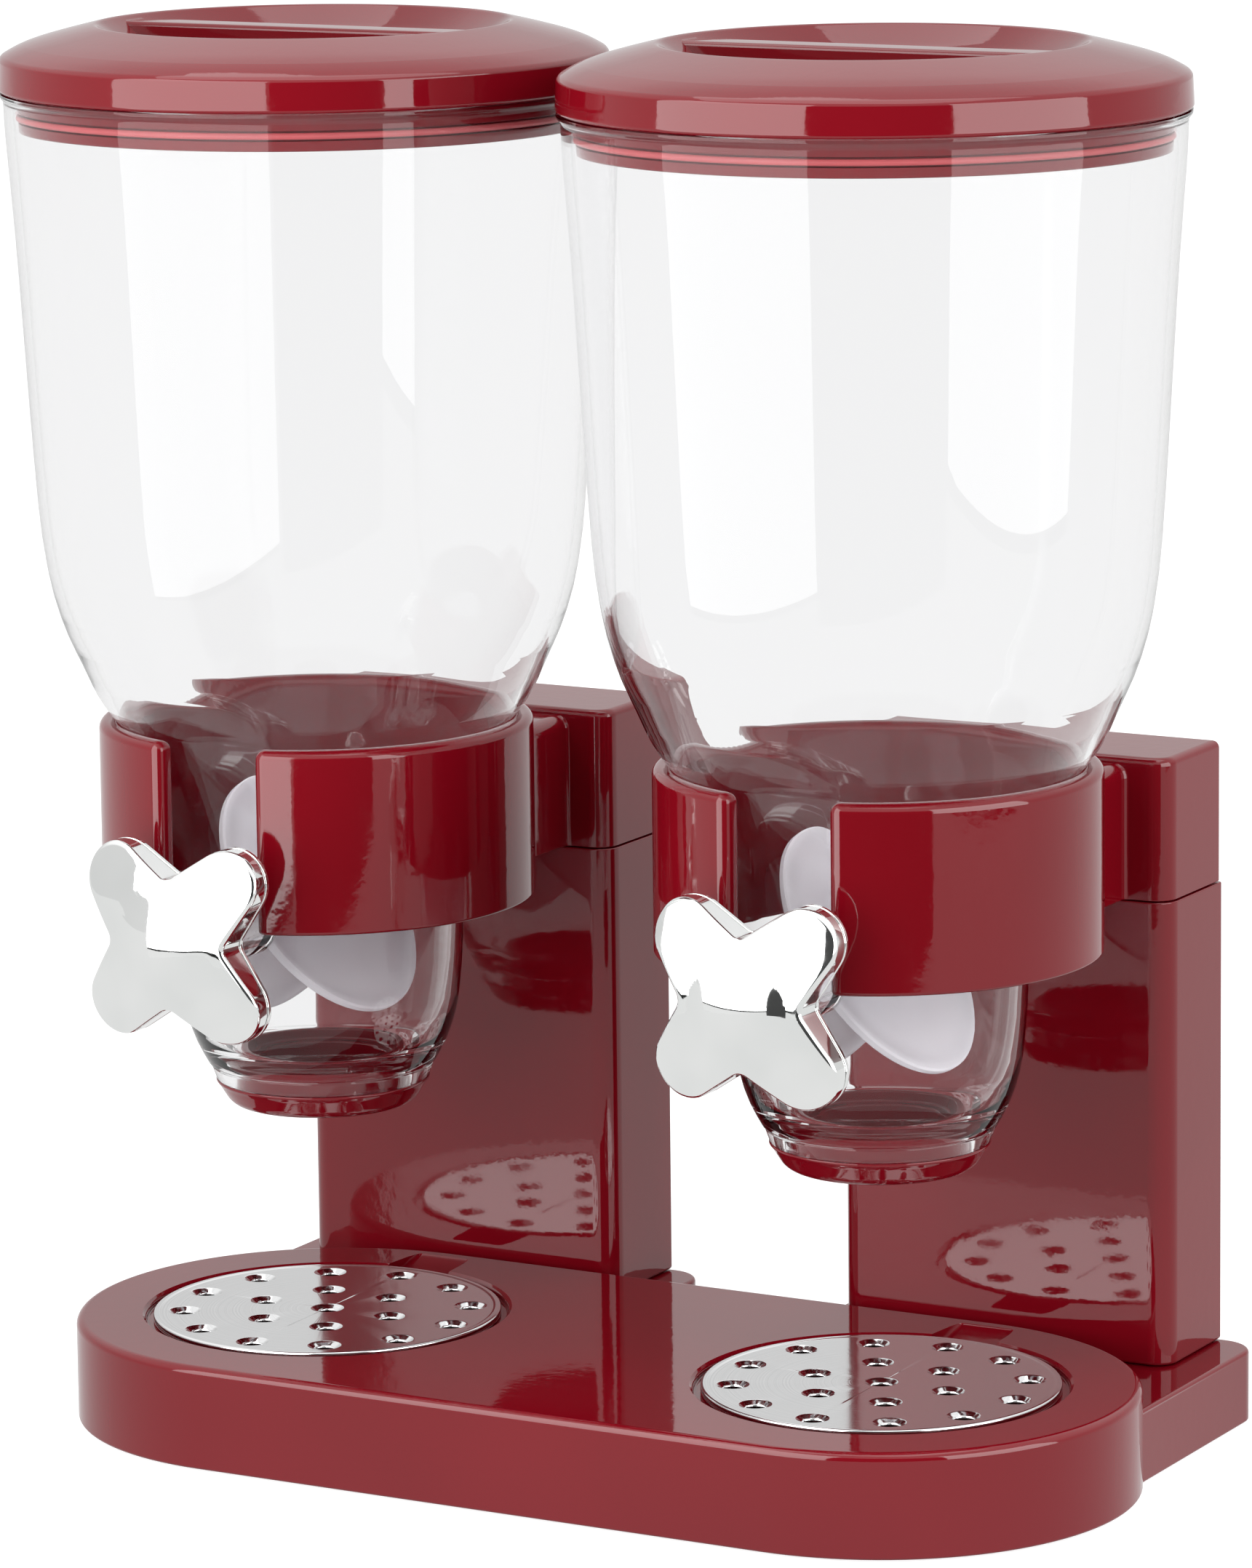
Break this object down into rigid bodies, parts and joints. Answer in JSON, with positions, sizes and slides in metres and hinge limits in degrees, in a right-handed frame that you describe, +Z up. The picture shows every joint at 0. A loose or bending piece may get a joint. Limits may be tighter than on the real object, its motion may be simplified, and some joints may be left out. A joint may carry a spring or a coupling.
{
  "type": "dry food dispenser",
  "caption": "Countertop dispenser for dry food: clear hoppers side by side with dished lids and lobed turning knobs, in collars on columns over a shared base with drip discs.",
  "frame": {"origin": "centre of the bounding box at the base, on the surface it stands on", "axes": "+Z up, -Y towards the user (knob side), +X to the user's right"},
  "size_m": [0.341, 0.194, 0.3908],
  "materials": {
    "red_plastic": "high gloss",
    "clear_plastic": "clear, polished",
    "chrome_plate": "mirror plated plastic",
    "polished_steel": "polished",
    "milky_silicone": "translucent, satin",
    "white_plastic": "satin",
    "dark_rubber": "matte",
    "steel_fastener": "plain"
  },
  "bodies": {
    "stand": {"base": "red_plastic", "column_left": "red_plastic", "column_right": "red_plastic", "stand_top_left": "red_plastic", "stand_top_right": "red_plastic", "foot_front_li": "dark_rubber", "foot_front_lo": "dark_rubber", "foot_front_ri": "dark_rubber", "foot_front_ro": "dark_rubber", "foot_rear_li": "dark_rubber", "foot_rear_lo": "dark_rubber", "foot_rear_ri": "dark_rubber", "foot_rear_ro": "dark_rubber", "screw_li": "steel_fastener", "screw_lo": "steel_fastener", "screw_ri": "steel_fastener", "screw_ro": "steel_fastener"},
    "hopper_body_left": {"hopper_left": "clear_plastic", "bush_left": "white_plastic"},
    "lid_body_left": {"lid_left": "red_plastic", "lid_seal_left": "milky_silicone"},
    "cap_body_left": {"outlet_cap_left": "red_plastic"},
    "wheel_left": {"paddle_left": "milky_silicone", "shaft_left": "white_plastic", "knob_front_left": "chrome_plate", "knob_back_left": "chrome_plate"},
    "disc_body_left": {"drip_disc_left": "polished_steel"},
    "hopper_body_right": {"hopper_right": "clear_plastic", "bush_right": "white_plastic"},
    "lid_body_right": {"lid_right": "red_plastic", "lid_seal_right": "milky_silicone"},
    "cap_body_right": {"outlet_cap_right": "red_plastic"},
    "wheel_right": {"paddle_right": "milky_silicone", "shaft_right": "white_plastic", "knob_front_right": "chrome_plate", "knob_back_right": "chrome_plate"},
    "disc_body_right": {"drip_disc_right": "polished_steel"}
  },
  "joints": [
    {"name": "hopper_lift_left", "type": "slide", "parent": "stand", "child": "hopper_body_left", "axis": [0, 0, 1], "range_m": [0, 0.06]},
    {"name": "lid_lift_left", "type": "slide", "parent": "hopper_body_left", "child": "lid_body_left", "axis": [0, 0, 1], "range_m": [0, 0.05]},
    {"name": "cap_pull_left", "type": "slide", "parent": "hopper_body_left", "child": "cap_body_left", "axis": [0, 0, -1], "range_m": [0, 0.025]},
    {"name": "knob_turn_left", "type": "hinge", "parent": "hopper_body_left", "child": "wheel_left", "pos_m": [-0.087, -0.0135, 0.148], "axis": [0, 1, 0], "continuous": true},
    {"name": "disc_lift_left", "type": "slide", "parent": "stand", "child": "disc_body_left", "axis": [0, 0, 1], "range_m": [0, 0.025]},
    {"name": "hopper_lift_right", "type": "slide", "parent": "stand", "child": "hopper_body_right", "axis": [0, 0, 1], "range_m": [0, 0.06]},
    {"name": "lid_lift_right", "type": "slide", "parent": "hopper_body_right", "child": "lid_body_right", "axis": [0, 0, 1], "range_m": [0, 0.05]},
    {"name": "cap_pull_right", "type": "slide", "parent": "hopper_body_right", "child": "cap_body_right", "axis": [0, 0, -1], "range_m": [0, 0.025]},
    {"name": "knob_turn_right", "type": "hinge", "parent": "hopper_body_right", "child": "wheel_right", "pos_m": [0.087, -0.0135, 0.148], "axis": [0, 1, 0], "continuous": true},
    {"name": "disc_lift_right", "type": "slide", "parent": "stand", "child": "disc_body_right", "axis": [0, 0, 1], "range_m": [0, 0.025]}
  ]
}
